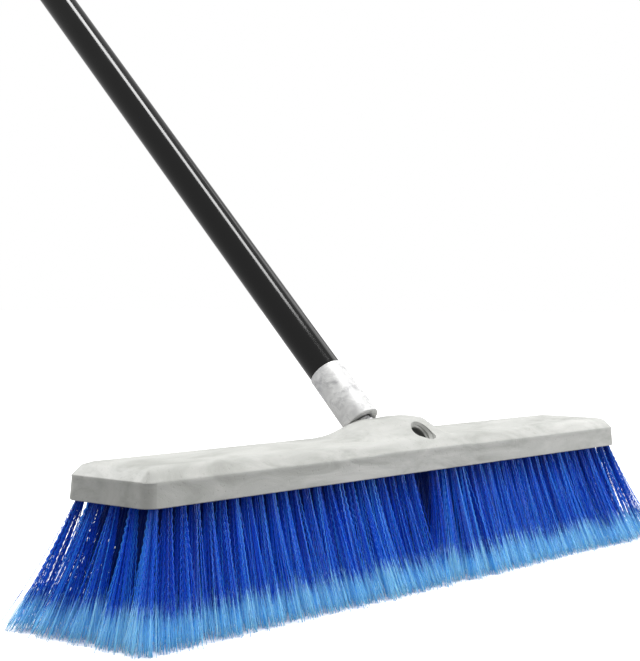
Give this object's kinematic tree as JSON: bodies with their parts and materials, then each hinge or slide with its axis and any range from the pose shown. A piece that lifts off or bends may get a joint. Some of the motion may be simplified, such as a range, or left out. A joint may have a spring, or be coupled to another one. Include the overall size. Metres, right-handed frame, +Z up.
{
  "type": "push broom",
  "caption": "Push broom with a moulded grey block, rows of flared blue bristles and a black handle that screws into a tilted socket.",
  "frame": {"origin": "on the floor under the middle of the block, on the flat underside of the middle row of bristles", "axes": "+Z up, +X along the block, +Y the way the handle leans"},
  "size_m": [0.677, 1.157, 1.2234],
  "materials": {
    "light_grey_foam_plastic": "satin moulded structural foam",
    "blue_bristle": "extruded filament with paler split tips",
    "zinc_stud": "as cast, threaded",
    "cast_metal": "bright cast metal with scuffs",
    "gloss_black_paint": "gloss",
    "black_cap_plastic": "satin"
  },
  "bodies": {
    "head": {"block": "light_grey_foam_plastic", "tufts_row_1_far_left": "blue_bristle", "tufts_row_1_left": "blue_bristle", "tufts_row_1_right": "blue_bristle", "tufts_row_1_far_right": "blue_bristle", "tufts_row_2_far_left": "blue_bristle", "tufts_row_2_left": "blue_bristle", "tufts_row_2_right": "blue_bristle", "tufts_row_2_far_right": "blue_bristle", "tufts_row_3_far_left": "blue_bristle", "tufts_row_3_middle": "blue_bristle", "tufts_row_3_far_right": "blue_bristle", "tufts_row_4_far_left": "blue_bristle", "tufts_row_4_left": "blue_bristle", "tufts_row_4_right": "blue_bristle", "tufts_row_4_far_right": "blue_bristle", "tufts_row_5_far_left": "blue_bristle", "tufts_row_5_left": "blue_bristle", "tufts_row_5_right": "blue_bristle", "tufts_row_5_far_right": "blue_bristle"},
    "stud": {"thread_stud": "zinc_stud"},
    "handle": {"ferrule": "cast_metal", "handle_tube": "gloss_black_paint", "hang_cap": "black_cap_plastic"}
  },
  "joints": [
    {"name": "thread_travel", "type": "slide", "parent": "head", "child": "stud", "axis": [0, 0.6984, 0.7157], "range_m": [0, 0.02541]},
    {"name": "thread_turn", "type": "hinge", "parent": "stud", "child": "handle", "pos_m": [-0.018, 0.0109, 0.1274], "axis": [0, 0.6984, 0.7157], "range_deg": [0, 1800]}
  ],
  "couplings": [
    {"joint": "thread_travel", "follows": "thread_turn", "m_per_rad": 0.00080851}
  ]
}
